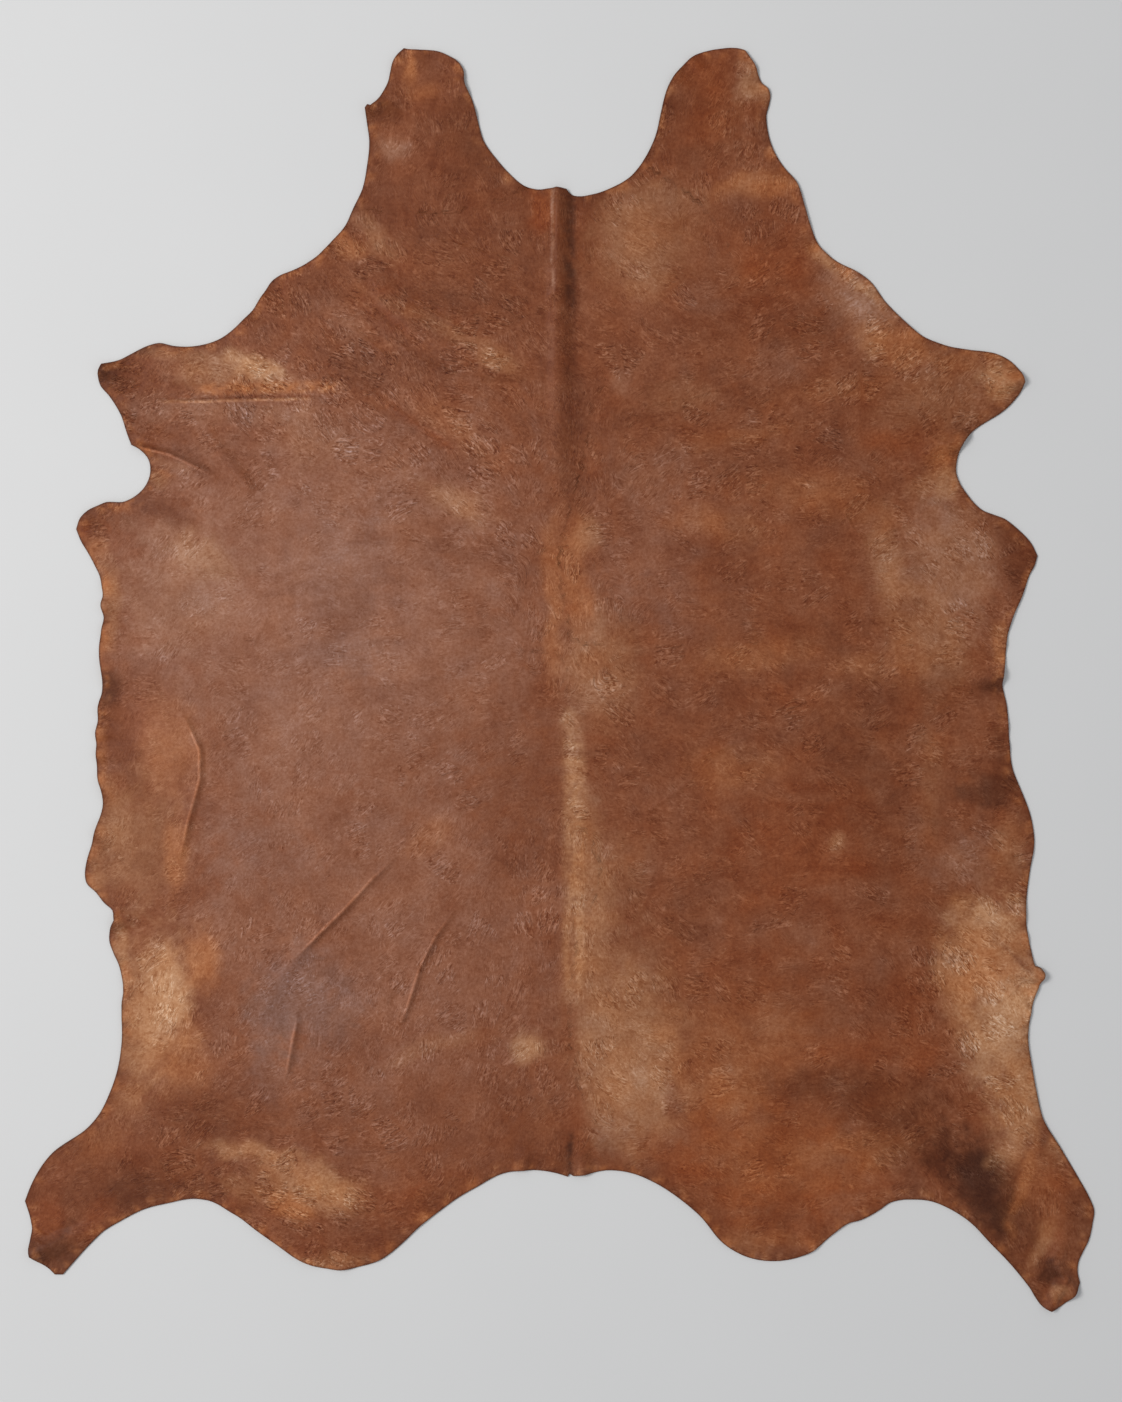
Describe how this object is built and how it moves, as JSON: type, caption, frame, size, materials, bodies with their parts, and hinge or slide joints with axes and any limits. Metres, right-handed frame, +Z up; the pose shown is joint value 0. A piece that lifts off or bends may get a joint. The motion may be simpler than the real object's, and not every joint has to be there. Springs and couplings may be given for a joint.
{
  "type": "leather hide",
  "caption": "Whole finished hide lying flat, with its natural cut outline, neck notch, shanks, soft folds and lifted wavy edges.",
  "frame": {"origin": "under the middle of the hide's bounding box, on the surface it lies on", "axes": "+Y to the neck end along the spine, +X to the hide's right seen from above, +Z up out of the grain side"},
  "size_m": [1.357, 1.602, 0.0113],
  "materials": {
    "leather": "red-brown pull-up leather, cloudy tone, soft satin sheen, dark cut edge"
  },
  "bodies": {
    "root": {"hide": "leather"}
  },
  "joints": []
}
